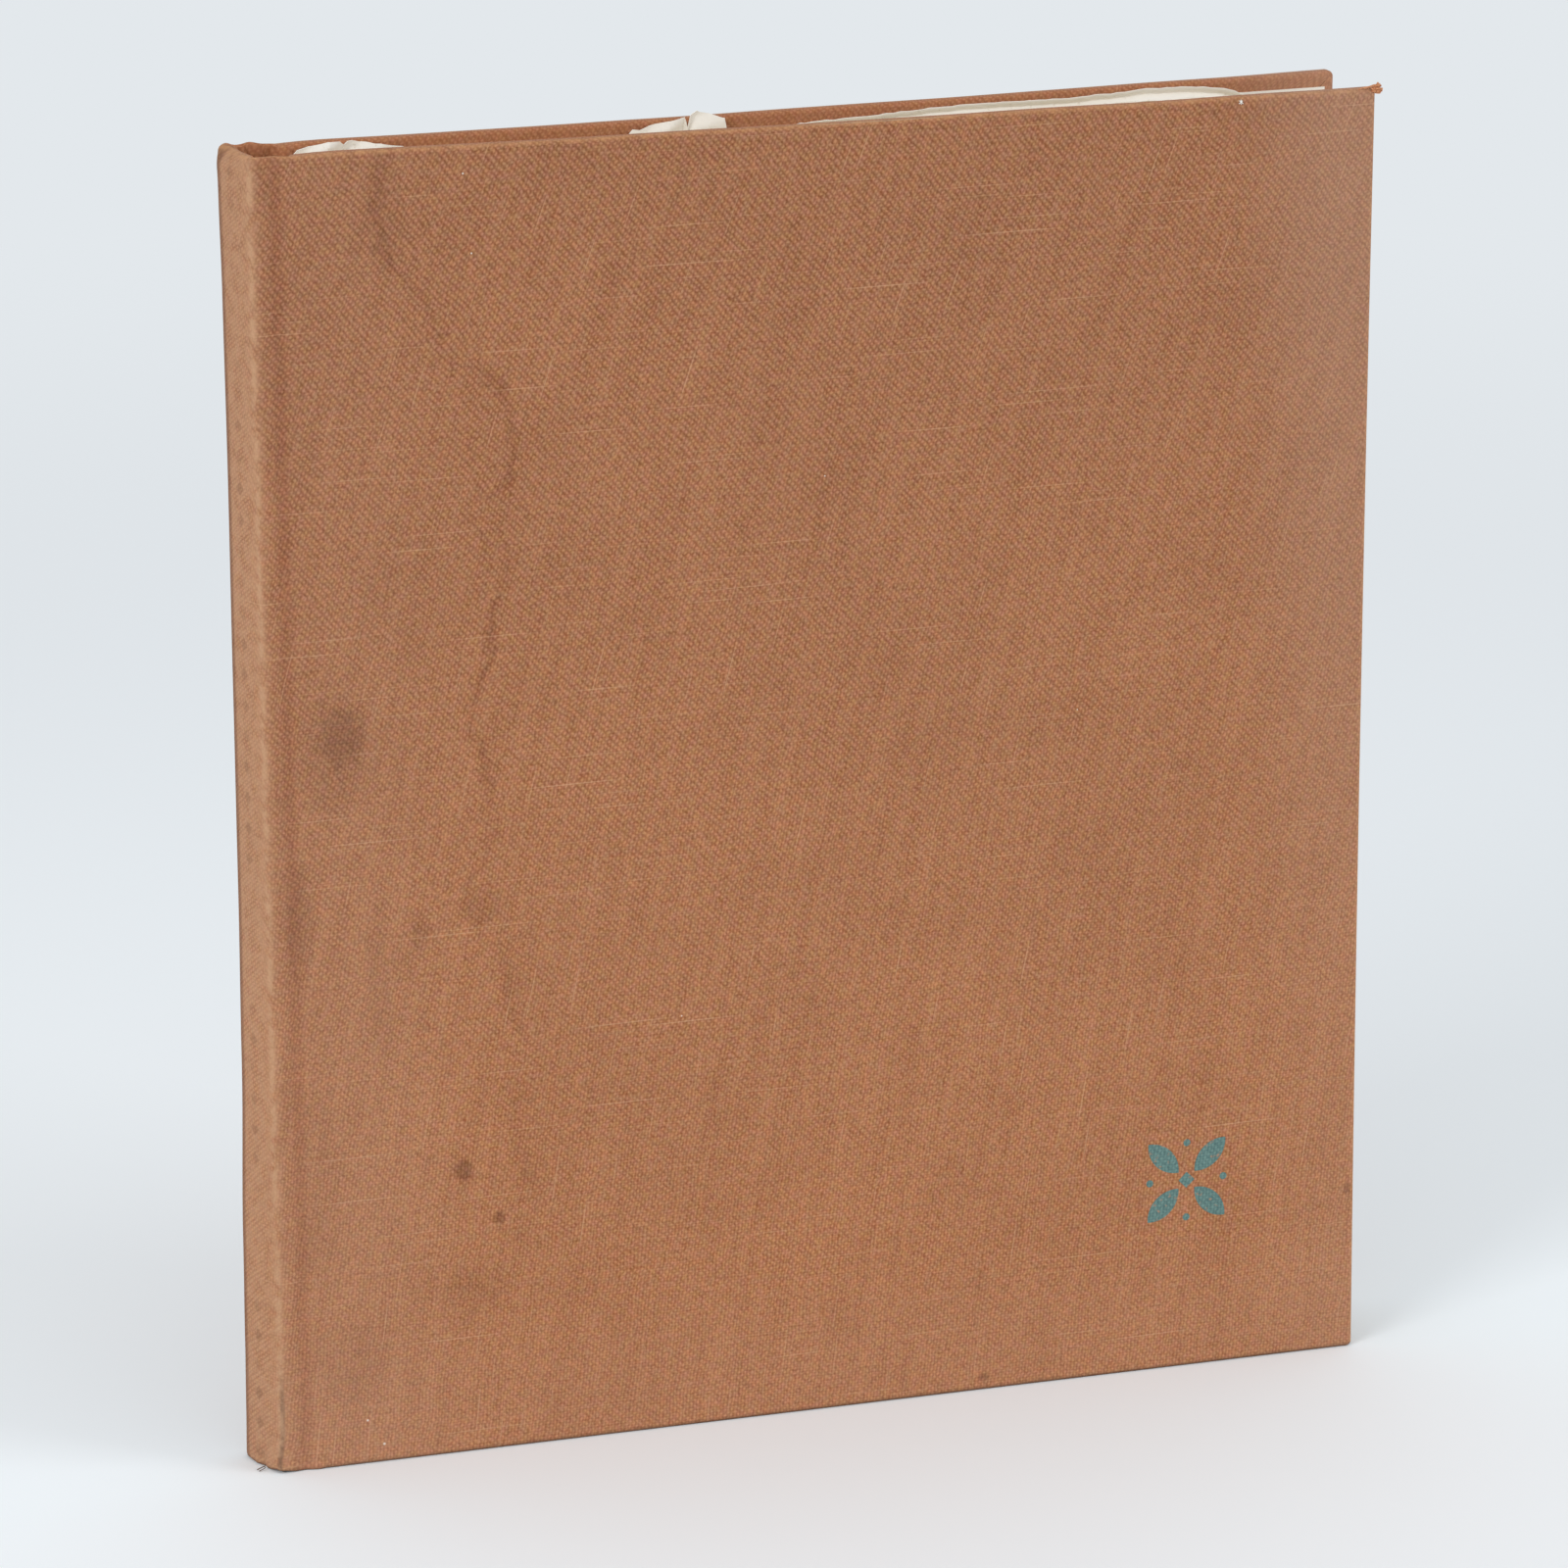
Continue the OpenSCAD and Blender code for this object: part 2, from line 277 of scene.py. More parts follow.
def case_plan(side):
    """Outline of half the case, from the middle of the spine to where the
    cloth starts over the fore-edge: points (x, y) of a closed cover, y from
    the middle and outwards."""
    outer = HINGE_Y + SKIN
    if side < 0:
        half = [(-spine_bow(side * y), y) for y in (1.2, 2.4, 3.6, 4.7, 5.7, 6.6)]
        start, end = (-spine_bow(-7.3), 7.3), (0.4, outer)
        half += [
            tuple(
                mix(mix(start[k], (0, outer)[k], t), mix((0, outer)[k], end[k], t), t)
                for k in (0, 1)
            )
            for t in (0, 0.25, 0.5, 0.75, 1)
        ]
    else:
        half = [(-spine_bow(y), y) for y in (1.2, 2.4, 3.5)]
        drop = outer - SPINE_PEAK
        half += [
            (-SPINE_OUT * math.cos(a), SPINE_PEAK + drop * math.sin(a))
            for a in (math.radians(90 * n / 9) for n in range(10))
        ]
        half += [(0.6, outer)]
    # straight across the middle, so that the two halves meet without a crease
    half = [(-(spine_bow(1.2) + spine_bow(-1.2)) / 2, 0)] + half
    joint = [1.2, 1.9, 2.6, 3.2, 3.8, 4.3, 4.8, 5.3, 5.8, 6.4, 7.1, 7.9, JOINT_END]
    half += [(x, outer - GROOVE * hump(x, GROOVE_X, 1.5)) for x in joint]
    half += [(x, outer) for x in steps(JOINT_END, REACH - CORNER, 4.8)[1:]]
    return half


def case_thickness(x, y):
    """Layers between the outside and the turned-in cloth."""
    joint = 2 * CLOTH + 0.06
    spine = 2 * CLOTH + CARD
    if x < 0:
        return mix(joint, spine, smooth((7.4 - y) / 1.2))
    return mix(joint, COVER_T, smooth((x - 7.9) / 1.1))


# How full the spine is at each height, as a share: full near the tail,
# squeezed flatter above
SPINE_FULL = [(0, 1.3), (12, 1.26), (25, 1.22), (48, 1.17), (88, 0.97), (125, 0.9),
              (170, 0.875), (215, 0.84), (250, 0.87), (272, 0.94), (280, 1)]
# Near the tail the front of the spine is trodden out round: how much further
# it stands out there, by distance from the middle
TRODDEN = [(0, 0.3), (1, 0), (2, -0.3), (4.1, 0.45), (6.2, 0.8), (7.1, 0.9), (7.75, 0.85)]
TRODDEN_JOINT = 0.9     # and beside the ridge
CAP_H = 3.6             # how far down from the head the spine is capped in


def spine_shift(side, x, y, z):
    """How far the cloth at a point (x, y) of the case's outline has moved
    towards the pages by use: trodden out at the tail, squeezed flatter above
    and capped in at the head."""
    moved = 0
    if side < 0:
        low = 1 - smooth(z / 10)
        if x > 0.3:
            moved -= TRODDEN_JOINT * low * (1 - smooth((x - 0.3) / 5.5))
        else:
            moved -= low * follow(TRODDEN, y)
    if x < 0:
        full = follow(SPINE_FULL, z)
        moved -= -x * (full - 1)
        if z > COVER_H / 2:
            deep = 0.56 - 0.4 * smooth((side * y - 3.5) / 2.5)
            moved += -x * full * deep * max(0, 1 - max(0, COVER_H - z) / CAP_H) ** 2
    return moved


BACK_WARP = 0.4         # no more than the closed book leaves room for
CORNERS_OUT = 0.5       # how far the corners are drawn out at the fore-edge
# How far the edges at the head wave, dip beside the joints, sag along the
# front cover, and rise at the back ridge and the back joint
WAVES, DIP, SAG, RIDGE_RISE, JOINT_RISE = 0.16, 0.28, 0.42, 0.62, 0.5


def back_bow(x):
    """How far the warped back cover bends in towards the pages."""
    return BACK_WARP * math.sin(math.pi * clamp(x / REACH) ** 0.85) * smooth(x / 60)


def ripple(x, z, seed):
    return noise.noise(Vector((x / 26, z / 26, seed)))


def settle(side, x, y, z, rim=0.0, over=None):
    """Takes a point of a closed, perfect cover to where the worn one has it.

    y is from the middle and outwards; rim is 1 at the head and tail edges;
    over is the point of the case's outline that this one lies under."""
    plan_x, plan_y = over or (x, y)
    x += spine_shift(side, plan_x, plan_y, z)
    x += CORNERS_OUT * (z / 140 - 1) ** 2 * smooth((x - 150) / 91)
    if side > 0:
        y -= back_bow(x)
    head = z > COVER_H / 2
    if rim:
        lift = WAVES * ripple(x, z, 3.1 * side)
        if head:
            lift -= DIP * hump(x, 9.5, 4)
            if side < 0:
                lift -= SAG * math.sin(math.pi * clamp((x - 12) / 229))
            else:
                back = smooth((plan_y - 2) / 3.5) * (1 - smooth((plan_x + 2) / 3))
                lift += RIDGE_RISE * back + JOINT_RISE * hump(plan_x, 3.9, 1.5)
                lift -= 0.9 * back_bow(x)
        else:
            lift = max(0, lift) * 0.4
            if side < 0:
                lift += 0.6 * hump(plan_x, 0, 2.6) * smooth((plan_y - 4) / 3)
        z += rim * lift
    turn = AJAR * smooth(x / BEND_END)
    dx, dy = x, y - HINGE_Y
    x = dx * math.cos(turn) - dy * math.sin(turn)
    y = HINGE_Y + dx * math.sin(turn) + dy * math.cos(turn)
    return at(x, side * y, z)


def offset_plan(plan):
    """The unit normals of an outline, pointing out."""
    found = []
    for n, (x, y) in enumerate(plan):
        before, after = plan[max(0, n - 1)], plan[min(len(plan) - 1, n + 1)]
        dx, dy = after[0] - before[0], after[1] - before[1]
        if n == 0:
            dx, dy = after[0] - x, after[1] - y
        length = math.hypot(dx, dy)
        found.append((-dy / length, dx / length))
    return found


def heights(near, start, size):
    """Heights on a cover: near the tail, even from start on, near the head."""
    middle = steps(start, COVER_H - start, size)
    return near + middle + [COVER_H - z for z in near[::-1]]


ROWS_FACE = heights([CORNER, 1.9, 2.7, 3.6, 4.8, 6.5, 9], 13, 5)


def squeeze(x, start, end, new_end):
    """Squeezes the stretch from start to end so that it stops at new_end."""
    if x <= start:
        return x
    return start + (x - start) * (new_end - start) / (end - start)


def case_cloth(name, side):
    """Half the covering cloth: from the middle of the spine, through the
    joint, over the board and turned in round its three edges."""
    plan = case_plan(side)
    normal = offset_plan(plan)
    ways = [over_edge(case_thickness(x, y)) for x, y in plan]
    last = len(plan) - 1
    run = [0.0]
    for n in range(last):
        run.append(run[-1] + math.dist(plan[n], plan[n + 1]))
    last_row = len(ROWS_FACE) - 1

    def rows_at(j):
        """(height in the face, stations over the edge, is it the head)"""
        k = j - WAY
        if k < 0:
            return CORNER, -k, False
        if k > last_row:
            return COVER_H - CORNER, k - last_row, True
        return ROWS_FACE[k], 0, k > last_row / 2

    def place(i, j):
        z, over_z, head = rows_at(j)
        over_x = max(0, i - last)
        way = over_edge(COVER_T)
        if over_x and over_z:
            k = max(over_x, over_z)
            inset, depth = way[k]
            r = CORNER - inset
            share = math.pi / 4 * min(over_x, over_z) / k
            angle = share if over_x >= over_z else math.pi / 2 - share
            x = REACH - CORNER + r * math.cos(angle)
            up = COVER_H - CORNER + r * math.sin(angle)
            y = HINGE_Y + SKIN - depth
            return settle(side, x, y, up if head else COVER_H - up, clamp(CORNER - inset))
        if over_x:
            inset, depth = way[over_x]
            if over_x > MITRE:
                half = COVER_H / 2
                near = squeeze(abs(z - half), half - DRAWN_IN, half - CORNER,
                               half - inset - HALF_SLIT)
                z = half + math.copysign(near, z - half)
            return settle(side, REACH - inset, HINGE_Y + SKIN - depth, z)
        x, y = plan[i]
        inset, depth = ways[i][over_z]
        if over_z > MITRE:
            x = squeeze(x, REACH - DRAWN_IN, REACH - CORNER,
                        REACH - inset - HALF_SLIT)
        x -= normal[i][0] * depth
        y -= normal[i][1] * depth
        if over_z:
            z = COVER_H - inset if head else inset
        rim = clamp(1 - inset / 3) if over_z else 0
        return settle(side, x, y, z, rim, plan[i])

    def lie(i, j):
        z, over_z, head = rows_at(j)
        over_x = max(0, i - last)
        u = run[min(i, last)] + way_length(over_x)
        if over_z:
            z = z + way_length(over_z) if head else z - way_length(over_z)
        return side * u, z

    def cut(i, j):
        over_x = max(0, i + 1 - last)
        z_low, z_high = rows_at(j)[1], rows_at(j + 1)[1]
        over_z = max(z_low, z_high)
        return i >= last and over_z > 0 and max(over_x, over_z) > MITRE

    cloth = sheet(name, last + 1 + WAY, last_row + 1 + 2 * WAY, place, lie,
                  cut, turned=side > 0)
    thicken(cloth, CLOTH)
    soften(cloth)
    return cloth


front_case_cloth = case_cloth("front_case_cloth", -1)
back_case_cloth = case_cloth("back_case_cloth", 1)


# ---- endpapers
def paper_level(x, z):
    """Height of a pastedown's seen face above the hinge line's plane: it
    lies on the board and steps over the turned-in cloth."""
    edge = min(z, COVER_H - z, REACH - x)
    level = mix(PASTE_IN, PASTE_IN + CLOTH, smooth((edge - 14.8) / 0.8))
    if x < JOINT_END:
        level = mix(0.06, level, smooth((x - PASTE_X[0]) / 8.7) ** 0.7)
    return level


PASTE_X = ([0.3, 0.9, 1.6, 2.4, 3.2, 4, 4.8, 5.6, 6.6, 7.8, JOINT_END]
           + steps(14, REACH - 20, 5)
           + [224, 225.2, 225.6, 226, 226.4, 228, 231, 234, 236.6, REACH - PASTE_SIDE])
PASTE_Z = heights([PASTE_INSET, 5, 8, 11, 13.6, 14.6, 15, 15.4, 15.8, 17.5], 22, 5)


def pastedown(name, side):
    return leaf(name, PASTE_X, PASTE_Z,
                lambda x, z: settle(side, x, HINGE_Y + paper_level(x, z), z),
                ENDPAPER - 0.02, turned=side < 0)


front_pastedown = pastedown("front_pastedown_paper", -1)
back_pastedown = pastedown("back_pastedown_paper", 1)


def bowed_board(name, side):
    """A cover's board, warped with its cover."""
    nothing_selected()
    start, end = JOINT_END, REACH - CLOTH
    low, high = HINGE_Y + BOARD_IN, HINGE_Y + BOARD_IN + BOARD
    bpy.ops.mesh.primitive_cube_add(
        size=1,
        location=at((start + end) / 2, (low + high) / 2, COVER_H / 2),
        scale=((end - start) * MM, (high - low) * MM, (COVER_H - 2 * CLOTH) * MM),
    )
    board = bpy.context.object
    board.name = board.data.name = name
    bpy.ops.object.transform_apply(location=True, rotation=True, scale=True)
    in_edit(board)
    for x in steps(start, end, 8)[1:-1]:
        bpy.ops.mesh.select_all(action="SELECT")
        bpy.ops.mesh.bisect(plane_co=at(x, 0, 0), plane_no=(1, 0, 0))
    nothing_selected()
    for vertex in board.data.vertices:
        x, y, z = (c / MM for c in vertex.co)
        vertex.co = settle(side, x + MIDDLE_X, y, z)
    only(board)
    bpy.ops.object.modifier_add(type="BEVEL")
    bevel = board.modifiers[-1]
    bevel.width = 0.15 * MM
    bevel.segments = 2
    bpy.ops.object.modifier_apply(modifier=bevel.name)
    return board


back_board_warped = bowed_board("back_board_warped", 1)


# ---- spine parts
def card_points():
    """The card's outline under the cloth, from ridge to ridge."""
    found = []
    for side in (-1, 1):
        plan = case_plan(side)
        normal = offset_plan(plan)
        half = [
            (x - n[0] * CLOTH, y - n[1] * CLOTH, side, (x, y))
            for (x, y), n in zip(plan, normal)
            if y < 7 and x < 0
        ]
        found += half[::-1] if side < 0 else half[1:]
    return found


CARD_POINTS = card_points()
CARD_Z = heights([0.9, 1.6, 2.4, 3.4, 4.6, 7], 12, 16)


def place_card(i, j):
    x, y, side, over = CARD_POINTS[i]
    return settle(side, x, y, CARD_Z[j], 0, over)


spine_card = sheet("spine_card", len(CARD_POINTS), len(CARD_Z), place_card,
                   lambda i, j: (i, CARD_Z[j]), turned=True)
thicken(spine_card, CARD)
soften(spine_card)

WING_X = [0.2, 0.8, 1.5, 2.2, 3, 3.8, 4.5, 5]
MULL_Z = heights([], 18, 8)


def gauze_wing(name, side):
    """The gauze that ties the sewn folds to one cover, under the endpaper."""
    return leaf(name, WING_X, MULL_Z,
                lambda x, z: settle(side, x, HINGE_Y + paper_level(x, z) + 0.35, z),
                0.25, turned=side < 0, soft=False)


front_gauze = gauze_wing("front_gauze_wing", -1)
back_gauze = gauze_wing("back_gauze_wing", 1)


def over_folds(y, z):
    """Where the gauze lies on the folds, dipping between the gatherings."""
    dip = 0.1 * math.cos(math.pi * y / GATHERING * 2)
    return at(-0.14 - 0.06 * dip, y, z)


HALF_BACK = HALF_BLOCK + ENDPAPER
spine_gauze = leaf("spine_gauze", steps(-HALF_BACK, HALF_BACK, 0.9), MULL_Z,
                   over_folds, 0.22, turned=True, soft=False)


# ---- leaves
LEAF_X = [0, 1.5, 4] + steps(9, PAGE_W - 7, 8) + [233, 235.5, PAGE_W]
LEAF_Z = [PAGE_LOW, 6, 9] + steps(14, PAGE_TOP - 10, 9) + [270, 273.5, PAGE_TOP]


def flyleaf(name, side):
    """A leaf that has lifted a little off the pages, most at its corners."""
    def place(x, z):
        free = smooth((x - 60) / 170)
        lift = 0.12 * free * (1 + ripple(x * 0.5, z * 0.5, 7.7 * side))
        return at(x, side * (HALF_BLOCK + 0.03 + lift), z)

    return leaf(name, LEAF_X, LEAF_Z, place, ENDPAPER - 0.04,
                turned=side > 0, inward=False)


front_leaf = flyleaf("front_flyleaf_paper", -1)
back_leaf = flyleaf("back_flyleaf_paper", 1)

# The loose sheet: a ragged head, as (mm from the hinge line, mm above the
# covers' head)
TORN = [
    (8, -6), (11.5, -2.2), (12.6, -1.3), (15, -0.6), (19, 0), (21.3, 0.1),
    (22.2, -0.7), (23, 0.1), (26, -0.3), (30, -0.9), (34.5, -1.9), (40, -3.4),
    (50, -4.6), (70, -4.4), (82.5, -2.6), (83.4, -1.5), (85, -1.8), (87, -1),
    (91, -0.3), (94.4, 0.3), (95.1, -1.8), (95.8, 0.7), (97.3, 1.4),
    (100, 0.7), (103.2, -0.3), (103.9, -3.4), (110, -4.2), (118, -3),
    (119.5, -2.5), (126, -2.1), (134, -1.8), (145, -1.2), (157, -0.7),
    (170, -0.8), (178, -0.9), (188, -0.4), (196, 0), (201, 0), (206, -0.2),
    (212, -0.7), (216, -1.6), (218.5, -2.8), (220, -6),
]
SHEET_X = sorted({round(v, 2) for v in steps(8, 220, 1.6) + [p[0] for p in TORN]})
SHEET_UP = (steps(0, 0.86, 0.09)[:-1] + [0.88, 0.92, 0.945, 0.96, 0.97]
            + steps(0.976, 1, 0.0016))
SHEET_LOW, SHEET_H = 7, 270


def crumple(x, z, down):
    """How far the loose sheet stands off the back flyleaf, back positive: it
    is creased where it was crushed, and its right run is folded forwards.
    Above the pages it has room to lean either way."""
    above = smooth((z - 276.2) / 1.6)
    free = 0.08 * smooth((x - 20) / 60) * (1 + ripple(x, z, 12.5))
    tent = abs(((x + 1.6 * down) / 5.2) % 2 - 1)
    left = hump(x, 22, 13) * (0.15 - 1.5 * tent)
    middle = hump(x, 95, 9) * (0.2 - 1.3 * tent)
    fold = abs(((down - 0.15) / 1.2) % 2 - 1)
    right = smooth((x - 112) / 12) * (0.2 - 1.5 * fold)
    return free + above * (left + middle + right)


def place_torn(i, j):
    x, t = SHEET_X[i], SHEET_UP[j]
    fray = 0.22 * noise.noise(Vector((x * 1.7, 4.4, 0)))
    top = COVER_H + follow(TORN, x, eased=False) + fray
    z = mix(SHEET_LOW, top, t)
    return at(x, HALF_BLOCK + ENDPAPER + 0.16 + crumple(x, z, top - z), z)


loose_paper = sheet("loose_torn_sheet", len(SHEET_X), len(SHEET_UP), place_torn,
                    lambda i, j: (SHEET_X[i], SHEET_UP[j] * SHEET_H))
thicken(loose_paper, 0.14)
soften(loose_paper, 35)


# ---- threads
def threads(name, strands):
    """Loose threads: each strand is (start, end, bend, thickness), with its
    ends as cover points (x, height, off the cover's face) and its bend as how
    far the middle is pushed up and off the face."""
    made = []
    for start, end, bend, thick in strands:
        nothing_selected()
        bpy.ops.curve.primitive_bezier_curve_add()
        strand = bpy.context.object
        strand.data.bevel_depth = thick / 2 * MM
        strand.data.bevel_resolution = 1
        strand.data.resolution_u = 6
        strand.data.use_fill_caps = True
        middle = [mix(a, b, 0.55) for a, b in zip(start, end)]
        middle[1] += bend[0]
        middle[2] += bend[1]
        ends = [
            settle(-1, x, HINGE_Y + SKIN + off, z) for x, z, off in (start, middle, end)
        ]
        first, last = strand.data.splines[0].bezier_points
        for point, place in ((first, ends[0]), (last, ends[2])):
            point.handle_left_type = point.handle_right_type = "FREE"
            point.co = place
            point.handle_left = point.handle_right = place.lerp(ends[1], 0.6)
        bpy.ops.object.convert(target="MESH")
        made.append(bpy.context.object)
    nothing_selected()
    for strand in made:
        strand.select_set(True)
    bpy.context.view_layer.objects.active = made[0]
    bpy.ops.object.join()
    piece = bpy.context.object
    piece.name = piece.data.name = name
    soften(piece, 80)
    return piece


corner_tuft = threads("frayed_corner_threads", [
    ((239.9, 279.9, -0.1), (242.0, 280.5, 0.3), (0.3, 0.1), 0.5),
    ((240.2, 279.6, -0.1), (242.3, 279.8, 0.3), (0.25, 0.2), 0.55),
    ((240.0, 279.4, 0.0), (241.9, 279.2, 0.5), (0.3, 0.1), 0.5),
    ((240.0, 279.8, 0.0), (241.7, 280.9, 0.5), (0.2, 0.1), 0.45),
    ((240.4, 279.9, 0.0), (241.4, 281.2, 0.1), (-0.1, 0.2), 0.4),
    ((239.2, 280.0, -0.2), (240.8, 280.7, 0.2), (0.3, 0.0), 0.4),
    ((240.4, 279.7, -0.4), (242.1, 280.1, -0.6), (0.2, -0.1), 0.5),
    ((238.4, 280.0, -0.1), (240.3, 280.5, 0.3), (0.35, 0.1), 0.34),
    ((240.5, 279.2, -0.3), (241.9, 279.0, 0.1), (-0.2, 0.1), 0.45),
    ((240.1, 279.8, 0.1), (241.9, 280.0, 0.8), (0.2, 0.2), 0.4),
    ((240.6, 279.5, -0.2), (242.5, 279.3, -0.2), (0.1, -0.2), 0.4),
    ((237.0, 279.9, 0.0), (239.5, 280.4, 0.1), (0.3, 0.2), 0.24),
])
lint_curl = threads("lint_curl", [
    ((210.5, 278.5, 0.0), (211.1, 279.1, 0.2), (0.1, 0.35), 0.2),
    ((210.5, 279.1, 0.0), (211.2, 278.5, 0.2), (0.1, 0.4), 0.2),
    ((210.9, 278.3, 0.0), (210.8, 279.3, 0.1), (0.0, 0.45), 0.18),
])
tail_thread = threads("loose_tail_thread", [
    ((-2.2, 0.9, -3.6), (-3.6, 0.3, -3.5), (0.15, 0.1), 0.22),
    ((-2.2, 0.6, -3.4), (-3.3, 0.15, -2.9), (0.1, 0.2), 0.16),
])


# ---- ornament
def cloth_run(side):
    """Length of cloth from the middle of the spine to the hinge line."""
    plan = case_plan(side)
    joint = [math.dist(a, b) for a, b in zip(plan, plan[1:]) if b[0] <= JOINT_END]
    return sum(joint) - JOINT_END


FRONT_RIDGE, BACK_RIDGE = cloth_run(-1), cloth_run(1)

only(cad["cover_ornament"])
bpy.ops.object.duplicate()
ornament = bpy.context.object
ornament.name = ornament.data.name = "stamped_ornament"
bpy.ops.object.parent_clear(type="CLEAR_KEEP_TRANSFORM")
for key in list(ornament.keys()):
    del ornament[key]
bpy.ops.object.mode_set(mode="EDIT")
bpy.ops.mesh.select_all(action="SELECT")
bpy.ops.mesh.remove_doubles(threshold=0.000005)
# out of its recess, until it lies on the drawn cloth
outward = Vector((-math.sin(AJAR), -math.cos(AJAR), 0))
bpy.ops.transform.translate(value=0.12 * MM * outward)
bpy.ops.object.mode_set(mode="OBJECT")
bpy.ops.mesh.customdata_custom_splitnormals_clear()
bpy.ops.object.shade_flat()
nothing_selected()
layer = ornament.data.uv_layers.new(name="flat_mm")
for loop in ornament.data.loops:
    spot = ornament.data.vertices[loop.vertex_index].co / MM
    along = (spot.x + MIDDLE_X) * math.cos(AJAR) - (spot.y + HINGE_Y) * math.sin(AJAR)
    layer.data[loop.index].uv = (-(FRONT_RIDGE + along), spot.z)


# ---- materials
def linear(hex_code):
    """A colour picked in sRGB, as the shader wants it."""
    made = []
    for k in (0, 2, 4):
        c = int(hex_code[k:k + 2], 16) / 255
        made.append(c / 12.92 if c <= 0.04045 else ((c + 0.055) / 1.055) ** 2.4)
    return (*made, 1.0)


TINT = {"data_type": "RGBA", "blend_type": "MULTIPLY"}
COLOUR = {"data_type": "RGBA"}
EASED = {"interpolation_type": "SMOOTHSTEP"}
FLAT = {"noise_dimensions": "2D"}
TIMES, PLUS, MINUS, OVER, TIMES_PLUS, SMALLER, LARGER = (
    {"operation": name} for name in (
        "MULTIPLY", "ADD", "SUBTRACT", "DIVIDE", "MULTIPLY_ADD", "MINIMUM", "MAXIMUM")
)
SIZE, FLOOR, FRACTION, SINE, COSINE = (
    {"operation": name} for name in ("ABSOLUTE", "FLOOR", "FRACT", "SINE", "COSINE")
)


def shown(node):
    """The output in use of a node that has one for each kind of data."""
    return next(s for s in node.outputs if s.enabled)


def add_node(tree, kind, *values, **settings):
    """One node: its settings, then its inputs in order, each given a value
    or a link from another node."""
    node = tree.nodes.new("ShaderNode" + kind)
    for key, value in settings.items():
        setattr(node, key, value)
    for socket, value in zip([s for s in node.inputs if s.enabled], values):
        if isinstance(value, bpy.types.Node):
            value = shown(value)
        if isinstance(value, bpy.types.NodeSocket):
            tree.links.new(value, socket)
        elif isinstance(value, str):
            socket.default_value = linear(value)
        else:
            socket.default_value = value
    return node


def between(add, x, rise, fall, most=1.0):
    """A share that rises over one pair of x and falls over the other."""
    up = add("MapRange", x, *rise, **EASED)
    down = add("MapRange", x, *fall, 0.0, most, **EASED)
    return add("Math", up, down, **TIMES)


def start_material(name, rough, specular, sheen=0.0):
    """A material, what adds a node to it, and its shader."""
    material = bpy.data.materials.new(name)
    material.use_nodes = True
    material.node_tree.nodes.clear()
    add = partial(add_node, material.node_tree)
    shader = add("BsdfPrincipled")
    shader.inputs["Roughness"].default_value = rough
    shader.inputs["Specular IOR Level"].default_value = specular
    shader.inputs["Sheen Weight"].default_value = sheen
    add("OutputMaterial", shader)
    return material, add, shader


def finish_material(add, shader, colour, relief, depth, strength=0.5):
    """Colour, and a relief of depth millimetres, on the shader."""
    bump = add("Bump", strength, depth * MM)
    links = shader.id_data.links
    links.new(relief.outputs[0], bump.inputs["Height"])
    links.new(bump.outputs[0], shader.inputs["Normal"])
    links.new(shown(colour), shader.inputs["Base Color"])


def dress(material, *pieces):
    for piece in pieces:
        piece.data.materials.clear()
        piece.data.materials.append(material)


WARP_GAP, WEFT_GAP = 0.75, 0.63     # mm between yarns
LEAN, LEAN_MORE = 0.1, 0.00049      # of the warp at the tail, and more per mm up
# Shares of the light and dark that come from stray fibres, from thick and
# thin yarns and from bands of them
FIBRE_SHARE, YARN_SHARE, BAND_SHARE = 1.1, 0.5, 0.24


